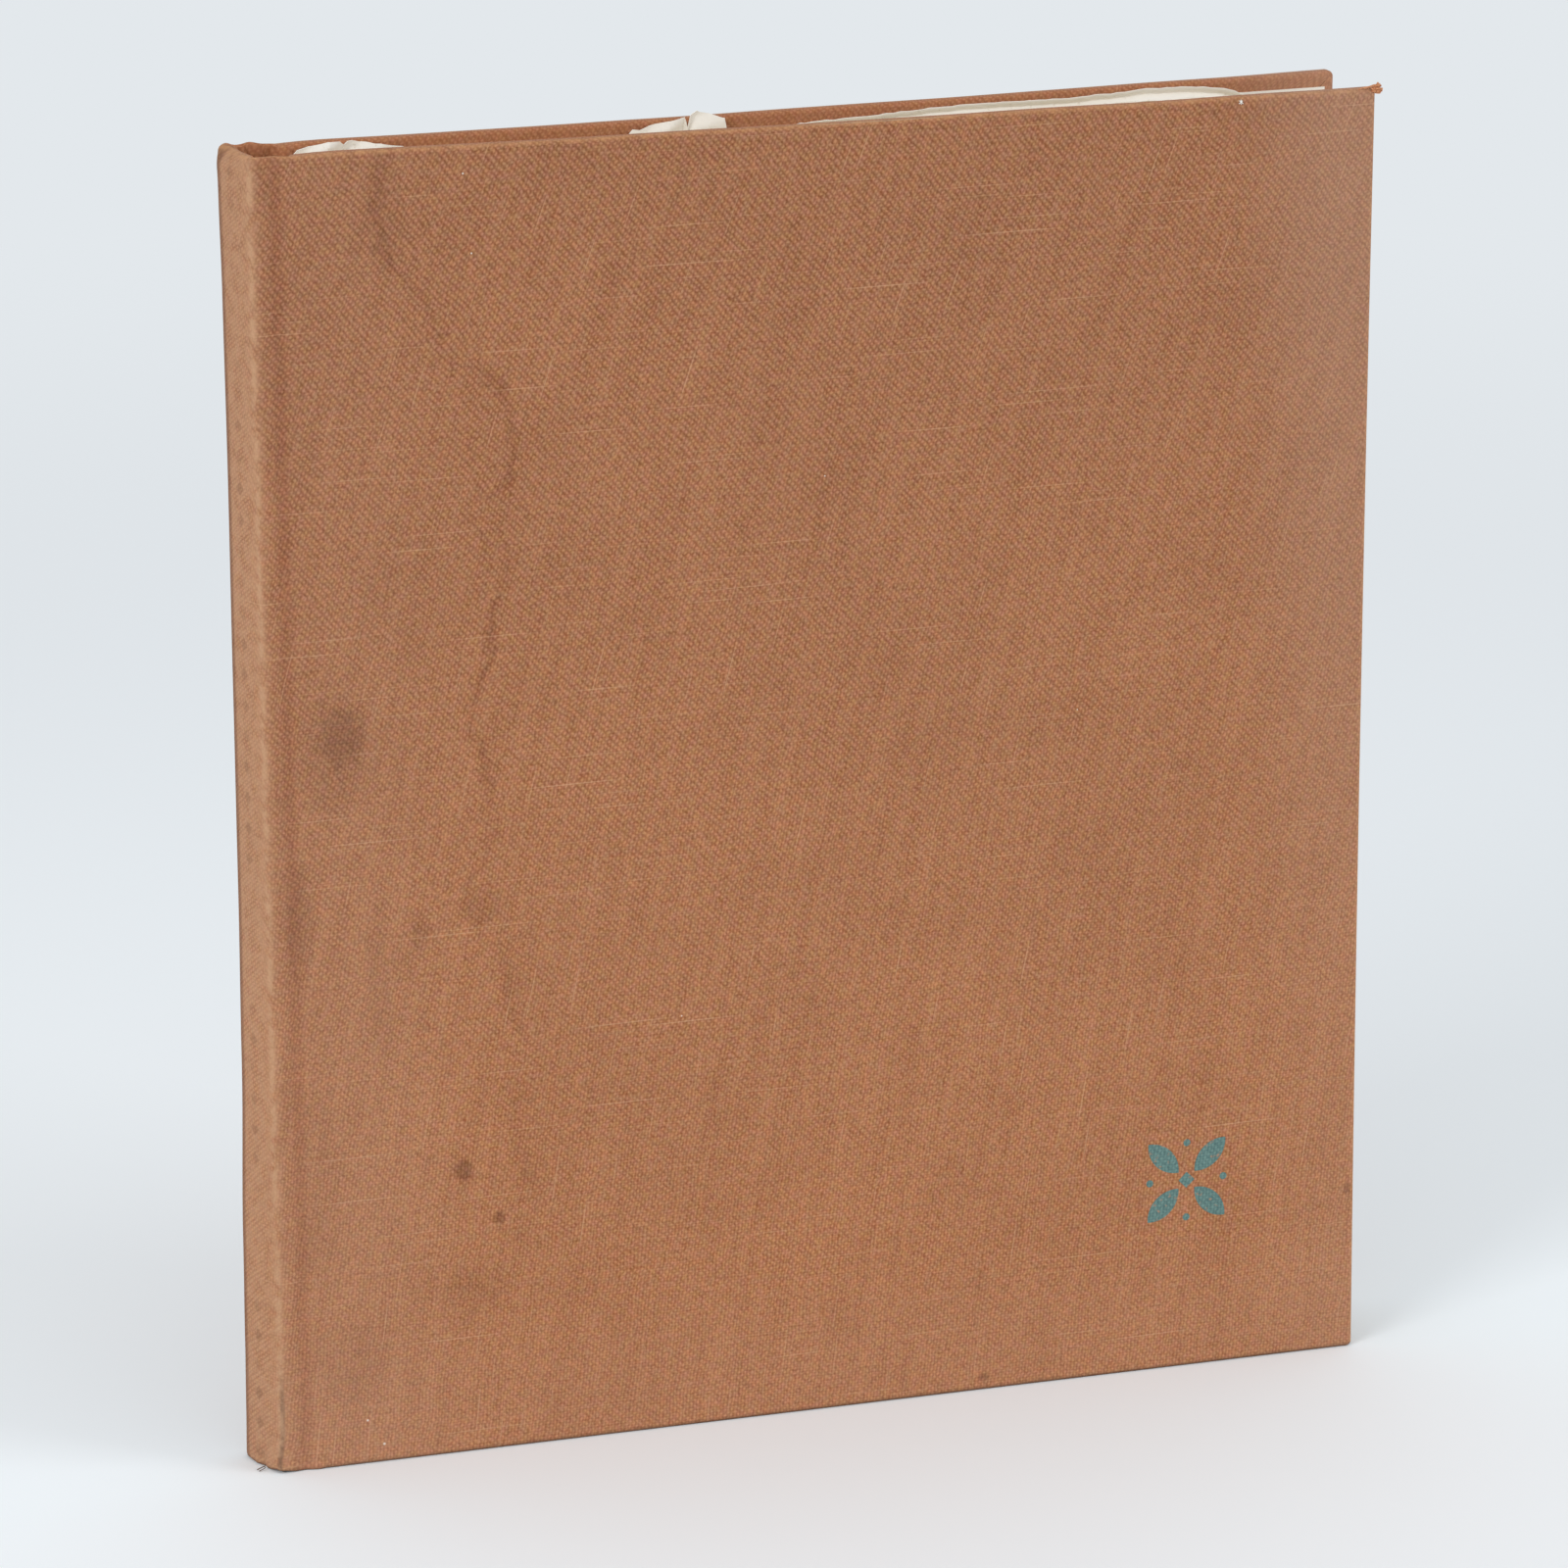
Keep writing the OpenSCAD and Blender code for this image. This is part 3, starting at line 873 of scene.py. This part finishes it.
def woven(add, flat):
    """A plain weave drawn from the flat cloth's own millimetres: its light
    and dark from 0 to 1, the mm across its warp, u and v. The warp leans,
    more towards the head, as the cloth was drawn askew over the boards, and
    the yarns wander, swell and thin."""
    split = add("SeparateXYZ", flat)
    u, v = split.outputs[0], split.outputs[1]
    lean = add("Math", v, LEAN_MORE, LEAN, **TIMES_PLUS)
    askew = add("Math", v, lean, u, **TIMES_PLUS)
    warp = add("Math", askew, 1 / WARP_GAP, **TIMES)
    weft = add("Math", v, 1 / WEFT_GAP, **TIMES)
    for scale, yarns in ((0.09, 1.5), (0.8, 0.6)):
        stray = add("TexNoise", flat, scale, 1.0, **FLAT).outputs["Color"]
        stray = add("SeparateXYZ", stray)
        warp = add("Math", stray.outputs[0], yarns, warp, **TIMES_PLUS)
        weft = add("Math", stray.outputs[1], yarns, weft, **TIMES_PLUS)
    fibres = add("TexNoise", flat, 1.6, 2.0, **FLAT)

    # the crowns stand in rows along both diagonals, painted pale as lit, and
    # the gaps between them painted dark as shade. One diagonal is drawn the
    # stronger, and the warp runs through where the weft is rubbed down
    worn = add("MapRange", v, 20.0, 250.0)
    beside = add("MapRange", add("Math", u, **SIZE), 4.0, 6.0)
    light = add("Math", fibres, FIBRE_SHARE, 0.5 - FIBRE_SHARE / 2, **TIMES_PLUS)
    for count, turns, at_tail, at_head, on_spine in (
        (add("Math", warp, weft, **MINUS), 0.5, 0.13, 0.27, 0.2),
        (add("Math", warp, weft, **PLUS), 0.5, 0.09, 0.14, 0.42),
        (warp, 1.0, 0.2, 0.17, 0.3),
        (weft, 1.0, 0.11, 0.08, 0.2),
    ):
        wave = add("Math", count, turns * 2 * math.pi, **TIMES)
        wave = add("Math", wave, **COSINE)
        share = add("MapRange", worn, 0.0, 1.0, at_tail, at_head)
        share = add("Mix", beside, on_spine, share)
        light = add("Math", wave, share, light, **TIMES_PLUS)

    # thick and thin places in single yarns
    for count, run, reach, seed in ((warp, v, 6.0, 1.0), (weft, u, 8.0, 9.0)):
        cell = add("Math", count, **FLOOR)
        spot = add("CombineXYZ", add("Math", cell, 0.37, **TIMES),
                   add("Math", run, reach, **OVER), seed)
        uneven = add("TexNoise", spot, 3.0, 1.0)
        light = add("Math", uneven, YARN_SHARE, light, **TIMES_PLUS)
    # and long bands of them along the warp
    spot = add("CombineXYZ", add("Math", askew, 0.32, **TIMES),
               add("Math", v, 1 / 45, **TIMES))
    bands = add("TexNoise", spot, 1.0, 1.0, **FLAT)
    light = add("Math", bands, BAND_SHARE, light, **TIMES_PLUS)
    light = add("Math", light, YARN_SHARE + BAND_SHARE / 2, **MINUS)
    return light, askew, u, v


# Tide line where the cloth was once wet: share of the height, mm from ridge
TIDE = [
    (0, 113), (0.055, 113), (0.115, 100), (0.13, 81), (0.155, 66),
    (0.2, 56), (0.26, 51.5), (0.3, 56.9), (0.34, 51.8), (0.385, 49.9),
    (0.436, 42.1), (0.476, 47.2), (0.537, 46.4), (0.58, 43.5), (0.62, 47.7),
    (0.655, 48), (0.69, 51.3), (0.73, 43.6), (0.75, 52.6), (0.81, 51.9),
    (0.836, 46.8), (0.842, 39.6), (0.893, 34.8), (0.93, 26.9), (1, 27.2),
]
# Marks on the front: mm from the ridge, height, half width, half height, depth
MARKS = [
    (15.8, 158.5, 5.2, 6.8, 0.5), (14.5, 155, 8, 12, 0.2), (40, 63, 2, 2.5, 0.6),
    (47.7, 51.7, 1.3, 1.5, 0.6), (32.1, 115.8, 2.2, 4, 0.25), (6.2, 120.5, 3, 12, 0.25),
    (22.5, 107, 2.5, 19, 0.14), (42.3, 37, 7, 5, 0.16), (155.6, 3.1, 1.2, 0.9, 0.6),
    (239.3, 36.9, 0.8, 1.2, 0.6), (45, 120, 5, 4, 0.2), (27, 268, 4, 14, 0.1),
    (8, 205, 5, 30, 0.1), (9, 60, 5, 26, 0.1), (14, 24, 8, 10, 0.12),
]
TIDE_REACH = 120        # mm from the ridge that the line's curve can hold
LOZENGE_GAP = 6.5       # mm between the spine's lozenges
# White specks of lint: mm from the ridge, height, radius
SPECKS = [(18.2, 9.8, 0.3), (21.7, 4.1, 0.34), (43.7, 274.2, 0.24), (45.2, 257.8, 0.22),
          (120, 206, 0.2), (176, 151, 0.18), (88, 92, 0.2)]


def book_cloth(name):
    """Linen book cloth, plain-woven from coarse dyed yarn and glued down:
    matt, painted pale on its yarns and painted dark in its gaps as shade,
    rubbed pale along ridges and edges, with a tide line, stains and painted
    shade in the joints."""
    material, add, shader = start_material(name, 0.9, 0.2, sheen=0.04)
    flat = add("UVMap", uv_map="flat_mm").outputs[0]
    relief, askew, u, v = woven(add, flat)
    # painted light and shade of the weave, pale on its crowns and dark in its gaps,
    # together with its uneven yarns
    colour = add("Mix", relief, "966343", "cc9b78", **COLOUR)
    # dyed in the yarn: some redder or yellower, some warmer or greyer
    varied = add("TexNoise", flat, 0.55, 1.0, 0.5, **FLAT).outputs["Color"]
    varied = add("SeparateXYZ", varied)
    for k, one, other in ((0, "ffefef", "f6f5e8"), (1, "fdf3df", "f6efef")):
        share = add("MapRange", varied.outputs[k], 0.3, 0.7)
        dyed = add("Mix", share, one, other, **COLOUR)
        colour = add("Mix", 1.0, colour, dyed, **TINT)

    # mm from the front ridge, and from the nearer ridge on either cover
    front = add("Math", u, -1.0, -FRONT_RIDGE, **TIMES_PLUS)
    back = add("Math", u, BACK_RIDGE, **MINUS)
    cover = add("Math", front, back, **LARGER)
    on_front = add("MapRange", front, -1.0, 1.5, **EASED)

    # greyed towards the head, uneven in patches
    cloudy = add("TexNoise", flat, 0.018, 3.0, 0.55, **FLAT)
    tone = add("Math", v, 1 / COVER_H, **TIMES)
    tone = add("Math", cloudy, 0.6, tone, **TIMES_PLUS)
    tone = add("MapRange", tone, 0.2, 1.35)
    patchy = add("TexNoise", flat, 0.07, 3.0, 0.6, **FLAT)
    patchy = add("MapRange", patchy, 0.45, 0.75, 0.0, 0.12, **EASED)

    # single yarns that took the dye less stand out as pale lines, sheared
    # so that they don't all start in one column
    pale = []
    for across, along, reach, least in ((v, u, 26.0, 0.75), (askew, v, 16.0, 0.78)):
        along = add("Math", along, reach, **OVER)
        along = add("Math", across, 1.37, along, **TIMES_PLUS)
        stretched = add("CombineXYZ", add("Math", across, 2.0, **TIMES), along)
        line = add("TexNoise", stretched, 1.0, 0.0, **FLAT)
        pale.append(add("MapRange", line, least, 0.97, 0.0, 0.4, **EASED))

    # once wet: darkest just inside the tide line, fading towards the tail
    curve = add("FloatCurve", 1.0, add("Math", v, COVER_H, **OVER))
    line = curve.mapping.curves[0]
    for share, mm in TIDE[1:-1]:
        line.points.new(share, mm / TIDE_REACH)
    line.points[0].location = (0, TIDE[0][1] / TIDE_REACH)
    line.points[-1].location = (1, TIDE[-1][1] / TIDE_REACH)
    curve.mapping.update()
    past = add("Math", curve, -TIDE_REACH, front, **TIMES_PLUS)
    wobble = add("TexNoise", flat, 0.26, 3.0, **FLAT)
    past = add("Math", wobble, 6.0, past, **TIMES_PLUS)
    tide = between(add, past, (0.6, 3.2), (4.5, 3.3))
    broken = add("TexNoise", flat, 0.045, 2.0, **FLAT)
    broken = add("MapRange", broken, 0.36, 0.64, 0.1, 0.5, **EASED)
    fading = add("MapRange", v, 30.0, 170.0, 0.2, 0.9)
    for share in (broken, fading, on_front):
        tide = add("Math", tide, share, **TIMES)

    # spots and smudges, each with a ragged outline
    ragged = add("TexNoise", flat, 0.45, 3.0, 0.6, **FLAT)
    ragged = add("Math", ragged, 1.7, -0.85, **TIMES_PLUS)
    stain = 0.0
    for x, z, wide, tall, deep in MARKS:
        dx = add("Math", front, 1 / wide, -x / wide, **TIMES_PLUS)
        dz = add("Math", v, 1 / tall, -z / tall, **TIMES_PLUS)
        far = add("Math", dx, dx, ragged, **TIMES_PLUS)
        far = add("Math", dz, dz, far, **TIMES_PLUS)
        spot = add("MapRange", far, 1.7, 0.1, 0.0, deep, **EASED)
        stain = add("Math", spot, stain, **LARGER)

    # painted shade: darker in the joints' grooves, in the crease beside the
    # front ridge near the tail, and along the spine's back ridge at its outline
    groove = between(add, cover, (2.8, 4.8), (7.2, 5.2), 0.3)
    crease = between(add, front, (-1.4, -0.5), (0.5, -0.2))
    tail = add("MapRange", v, 26.0, 15.0, 0.0, 0.9, **EASED)
    crease = add("Math", crease, tail, **TIMES)
    back_ridge_shade = between(add, u, (2.3, 3.8), (6.5, 5.0), 0.6)

    # rubbed pale: the spine and its ridges
    rub = add("TexNoise", flat, 0.3, 4.0, 0.6, **FLAT)
    spine = add("MapRange", cover, 2.2, -1.0, **EASED)
    worn = add("MapRange", rub, 0.3, 0.62, 0.3, 0.6, **EASED)
    spine = add("Math", spine, worn, **TIMES)
    ridge = between(add, cover, (-2.2, -0.9), (0.6, -0.5))
    ridge = add("Math", ridge, add("MapRange", rub, 0.4, 0.6, 0.0, 0.4), **TIMES)
    # slanting rub marks and dirt on the lower spine
    slant = add("Math", v, 1.25, add("Math", u, 0.95, **TIMES), **TIMES_PLUS)
    slant = add("CombineXYZ", add("Math", slant, 1.1, **TIMES),
                add("Math", u, 0.25, **TIMES))
    slant = add("TexNoise", slant, 1.0, 2.0, 0.6, **FLAT)
    slant = add("MapRange", slant, 0.42, 0.6, 0.0, 0.5, **EASED)
    lower = add("MapRange", v, 110.0, 20.0, 0.2, 0.9)
    slant = add("Math", add("Math", slant, lower, **TIMES), spine, **TIMES)

    # faded stamping down the spine: a broken row of small lozenges
    step = add("Math", add("Math", v, 1 / LOZENGE_GAP, **TIMES), **FRACTION)
    step = add("Math", add("Math", step, 0.5, **MINUS), **SIZE)
    aside = add("Math", add("Math", u, 1.3, **PLUS), **SIZE)
    lozenge = add("Math", step, LOZENGE_GAP, aside, **TIMES_PLUS)
    lozenge = add("MapRange", lozenge, 1.9, 1.1, 0.0, 0.45, **EASED)
    stretch = add("TexNoise", add("CombineXYZ", 0.0, v), 0.03, 0.0, **FLAT)
    stretch = add("MapRange", stretch, 0.42, 0.5, **EASED)
    left = add("MapRange", rub, 0.38, 0.55, 0.1, 0.8)
    lozenge = add("Math", add("Math", lozenge, stretch, **TIMES), left, **TIMES)

    # the covers' edges, 0.3 mm on over the fold, rubbed on the fold only
    tail_edge = add("Math", v, 0.3, **PLUS)
    head_edge = add("Math", COVER_H + 0.3, v, **MINUS)
    side_edge = add("Math", REACH + 0.3, cover, **MINUS)
    inner = add("Math", head_edge, side_edge, **SMALLER)
    rim = add("Math", add("Math", tail_edge, inner, **SMALLER), **SIZE)
    rim = add("MapRange", rim, 1.5, 0.2, 0.0, 1.0, **EASED)
    rim = add("Math", rim, add("MapRange", rub, 0.35, 0.65, 0.15, 0.55), **TIMES)
    # the turned-in cloth has kept its colour, and is painted lighter as well, as
    # painted light where the covers shade it; the tail edge is soiled, and painted
    # darker as the contact shadow along its fold
    inner = add("MapRange", inner, -0.4, -1.6, 0.0, 0.25, **EASED)
    # dirt together with painted contact shadow: the tail edge's fold darkened
    soiled = add("MapRange", v, 1.3, 0.0, 0.0, 0.85, **EASED)

    # sunned at the fore-edge, handled beside the joint and greyed by the shelf
    lean = add("Math", v, 0.035, cover, **TIMES_PLUS)
    faded = add("MapRange", v, 60.0, 260.0, 0.1, 0.26)
    sunned = add("MapRange", lean, 214.0, 244.0, 0.0, 1.0, **EASED)
    sunned = add("Math", sunned, faded, **TIMES)
    handled = add("MapRange", cover, 48.0, 16.0, 0.02, 0.9, **EASED)
    lower = add("MapRange", v, 200.0, 50.0, 0.05, 0.14)
    handled = add("Math", add("Math", handled, lower, **TIMES), on_front, **TIMES)
    shelf = add("MapRange", v, 36.0, 8.0, 0.0, 0.08, **EASED)

    # specks of lint
    lint = 0.0
    for x, z, radius in SPECKS:
        dx = add("Math", front, x, **MINUS)
        dz = add("Math", v, z, **MINUS)
        far = add("Math", dz, dz, add("Math", dx, dx, **TIMES), **TIMES_PLUS)
        dot = add("MapRange", far, radius ** 2, 0.3 * radius ** 2)
        lint = add("Math", dot, lint, **LARGER)
    lint = add("Math", lint, 0.75, **TIMES)

    # among these, the groove, crease and back-ridge tints are painted shade, the
    # turned-in cloth's tint is partly painted light, and the soiled tail edge is partly
    # painted shade
    for share, tone_there, kind in (
        (tone, "e3e4ea", TINT), (patchy, "d5cbc6", TINT), (pale[0], "cda07c", COLOUR),
        (pale[1], "cda07c", COLOUR), (tide, "cdbcb8", TINT), (stain, "a99c9b", TINT),
        (groove, "d0a9a0", TINT), (crease, "6f625c", TINT), (spine, "be9372", COLOUR),
        (ridge, "c69e7b", COLOUR), (slant, "c9b09c", TINT), (back_ridge_shade, "9a8a84", TINT),
        (lozenge, "a08d80", TINT), (rim, "cf9a6c", COLOUR), (inner, "c98259", COLOUR),
        (soiled, "7d6f68", TINT), (sunned, "b3937f", COLOUR), (handled, "b3937f", COLOUR),
        (shelf, "b3937f", COLOUR), (lint, "e6dccf", COLOUR),
    ):
        colour = add("Mix", share, colour, tone_there, **kind)
    finish_material(add, shader, colour, relief, 0.12)
    return material


dress(book_cloth("linen book cloth"), front_case_cloth, back_case_cloth)


def blocked_pigment(name):
    """Matt blue-green colour, hot-stamped: it fills the weave, and is rubbed
    off the tops of some yarns, where the cloth shows."""
    material, add, shader = start_material(name, 0.8, 0.25)
    flat = add("UVMap", uv_map="flat_mm").outputs[0]
    relief = woven(add, flat)[0]
    # painted light and shade of the weave: paler on the crowns, darker in the gaps
    colour = add("Mix", relief, "4d6a68", "6d8c86", **COLOUR)
    rubbed = add("TexNoise", flat, 0.7, 3.0, **FLAT)
    rubbed = add("MapRange", rubbed, 0.6, 0.75, **EASED)
    rubbed = add("Math", rubbed, relief, **TIMES)
    colour = add("Mix", rubbed, colour, "a97f63", **COLOUR)
    finish_material(add, shader, colour, relief, 0.08)
    return material


dress(blocked_pigment("blocked pigment"), ornament)


def paper(name, light, dark, patch):
    """Uncoated paper: fibres just show, toned in patches patch mm across."""
    material, add, shader = start_material(name, 0.9, 0.3)
    place = add("TexCoord").outputs["Object"]
    fibres = add("TexNoise", place, 2500.0, 3.0)
    toned = add("TexNoise", place, 1000 / patch, 5.0, 0.6)
    toned = add("MapRange", toned, 0.25, 0.85)
    colour = add("Mix", toned, light, dark, **COLOUR)
    flecks = add("TexNoise", place, 900.0, 2.0)
    flecks = add("MapRange", flecks, 0.66, 0.74, 0.0, 0.25)
    colour = add("Mix", flecks, colour, "b39f7c", **COLOUR)
    finish_material(add, shader, colour, fibres, 0.05, 0.2)
    return material


# Smooth off-white endpaper, and thinner, whiter paper for the loose sheet
endpaper = paper("uncoated endpaper", "eee8de", "e4dccd", 60)
dress(endpaper, front_pastedown, back_pastedown, front_leaf, back_leaf)
dress(paper("old torn paper", "f5f2ec", "ebe5d8", 25), loose_paper)
# Grey pulp board under the cloth, with coarse flecks
dress(paper("grey millboard", "b9ab90", "a0917a", 25),
      back_board_warped, spine_card, cad["front_board"])
dress(paper("brown kraft paper", "b89b72", "a68a61", 20), cad["spine_liner"])


def gauze_weave(name):
    """Starched cotton gauze: thin yarns 0.9 mm apart with glue in the gaps."""
    material, add, shader = start_material(name, 0.85, 0.2)
    flat = add("UVMap", uv_map="flat_mm").outputs[0]
    split = add("SeparateXYZ", flat)
    yarns = []
    for k in (0, 1):
        turn = add("Math", split.outputs[k], 2 * math.pi / 0.9, **TIMES)
        yarns.append(add("Math", turn, **COSINE))
    relief = add("Math", *yarns, **LARGER)
    yarn = add("MapRange", relief, 0.3, 0.75, **EASED)
    colour = add("Mix", yarn, "b39c74", "ded6c1", **COLOUR)
    finish_material(add, shader, colour, relief, 0.1)
    return material


dress(gauze_weave("starched gauze"), front_gauze, back_gauze, spine_gauze)


def leaf_edges(name):
    """Cut edges of the folded leaves: fine lines along the book, each leaf a
    little lighter or darker, browned by dust at the head. Real leaves are
    0.1 mm; the lines are drawn 0.3 mm apart so that they show."""
    material, add, shader = start_material(name, 0.9, 0.2)
    place = add("TexCoord").outputs["Object"]
    thin = add("VectorMath", place, (25.0, 1000 / 0.3, 25.0), **TIMES)
    leaves = add("TexNoise", thin, 1.0, 2.0, 0.7)
    shade = add("MapRange", leaves, 0.35, 0.65)
    colour = add("Mix", shade, "b8a988", "ece5d4", **COLOUR)
    height = add("SeparateXYZ", place).outputs[2]
    dusty = add("MapRange", height, 0.2745, 0.2762, 0.0, 0.35)
    colour = add("Mix", dusty, colour, "c8b896", **COLOUR)
    finish_material(add, shader, colour, leaves, 0.08)
    return material


dress(leaf_edges("cut paper edges"), cad["text_block"])


def band_thread(name):
    """Two colours of cotton thread wound in turns over a core."""
    material, add, shader = start_material(name, 0.7, 0.3, sheen=0.1)
    place = add("TexCoord").outputs["Object"]
    across = add("SeparateXYZ", place).outputs[1]
    # stripes of colour 1.8 mm apart, of threads 0.3 mm thick
    stripe, turns = (
        add("Math", add("Math", across, 2 * math.pi / (gap * MM), **TIMES), **SINE)
        for gap in (1.8, 0.3)
    )
    stripe = add("MapRange", stripe, -0.15, 0.15)
    colour = add("Mix", stripe, "e3dac4", "9c5a44", **COLOUR)
    shade = add("MapRange", turns, -1.0, 1.0, 0.35, 0.0)
    colour = add("Mix", shade, colour, "8c7f70", **TINT)
    finish_material(add, shader, colour, turns, 0.06)
    return material


dress(band_thread("wound band thread"), cad["head_band"], cad["tail_band"])


def loose_yarn(name, light, dark):
    """Single spun yarn pulled out of the cloth: fuzzy, lighter where worn."""
    material, add, shader = start_material(name, 0.9, 0.2, sheen=0.15)
    place = add("TexCoord").outputs["Object"]
    fuzz = add("TexNoise", place, 3500.0, 2.0)
    colour = add("Mix", add("MapRange", fuzz, 0.35, 0.65), light, dark, **COLOUR)
    finish_material(add, shader, colour, fuzz, 0.05)
    return material


dress(loose_yarn("frayed linen yarn", "d79a6e", "a3623f"), corner_tuft)
dress(loose_yarn("white lint", "f4f1ec", "dcd6cc"), lint_curl)
dress(loose_yarn("soiled yarn", "6d5546", "4f3d33"), tail_thread)


# ---- riding
def bends(piece, side, slot, *nodes):
    """A piece that runs from the book over a joint to a cover: its place is baked
    in and the parts it stands for are hidden.
    """
    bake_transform(piece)
    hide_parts(*nodes)


bends(front_case_cloth, -1, "cloth", "front_cloth", "spine_cloth")
bends(back_case_cloth, 1, "cloth", "back_cloth", "spine_cloth")
bends(front_pastedown, -1, "endpaper", "front_pastedown")
bends(back_pastedown, 1, "endpaper", "back_pastedown")
bends(front_gauze, -1, "gauze", "mull")
bends(back_gauze, 1, "gauze", "mull")
for piece, body, node, slot in (
    (spine_gauze, "book_block", "mull", "gauze"),
    (spine_card, "book_block", "spine_inlay", "inlay_card"),
    (front_leaf, "book_block", "front_flyleaf", "endpaper"),
    (back_leaf, "book_block", "back_flyleaf", "endpaper"),
    (loose_paper, "book_block", "loose_sheet", "loose_paper"),
    (back_board_warped, "back_cover", "back_board", "board_card"),
    (ornament, "front_cover", "cover_ornament", "pigment"),
    (corner_tuft, "front_cover", None, "cloth"),
    (lint_curl, "front_cover", None, "loose_paper"),
    (tail_thread, "book_block", None, "cloth"),
):
    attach(piece, body)
    if node:
        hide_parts(node)


# ---- stage
nothing_selected()
bpy.ops.mesh.primitive_circle_add(vertices=96, radius=9, fill_type="NGON")
floor = bpy.context.object
floor.name = "floor"
# The paper sweep goes on for metres, where the lamps no longer reach it, so
# there the camera sees its plain colour
sweep, add, shader = start_material("pale matt paper sweep", 0.9, 0.1)
place = add("TexCoord").outputs["Object"]
away = add("VectorMath", place, operation="LENGTH").outputs["Value"]
# painted light on the floor: paler and bluer near the book, against the book's warm
# bounce and shade there
near = add("MapRange", away, 0.12, 0.9, **EASED)
shade = add("Mix", near, "f4f9fc", "eef2f5", **COLOUR)
links, nodes = sweep.node_tree.links, sweep.node_tree.nodes
links.new(shown(shade), shader.inputs["Base Color"])
plain = add("Emission", "e3e8ec", 1.0)
rays = add("LightPath")
seen = 0.0
for ray in ("Camera", "Glossy", "Transmission"):
    seen = add("Math", rays.outputs[f"Is {ray} Ray"], seen, **LARGER)
far = add("MapRange", away, 0.45, 1.3, **EASED)
seen = add("Math", seen, far, **TIMES)
both = add("MixShader", seen, shader, plain)
exit_node = next(n for n in nodes if n.bl_idname == "ShaderNodeOutputMaterial")
links.new(both.outputs[0], exit_node.inputs["Surface"])
dress(sweep, floor)


def softbox(name, location, power):
    """A square lamp 0.9 m wide that faces the middle of the book."""
    lamp = bpy.data.lights.new(name, "AREA")
    lamp.size = 0.9
    lamp.energy = power
    holder = bpy.data.objects.new(name, lamp)
    bpy.context.scene.collection.objects.link(holder)
    holder.location = location
    aim = Vector((0, 0, COVER_H / 2 * MM)) - Vector(location)
    holder.rotation_euler = aim.to_track_quat("-Z", "Y").to_euler()


softbox("left softbox", (-1.7, -1.15, 1.1), 17)
softbox("right softbox", (1.7, -1.25, 1.1), 12)

world = bpy.data.worlds.new("studio")
bpy.context.scene.world = world
world.use_nodes = True
world.node_tree.nodes.clear()
sky = add_node(world.node_tree, "Background", "f2f4f6", 0.8)
add_node(world.node_tree, "OutputWorld", sky)
bpy.context.scene.view_settings.view_transform = "Standard"
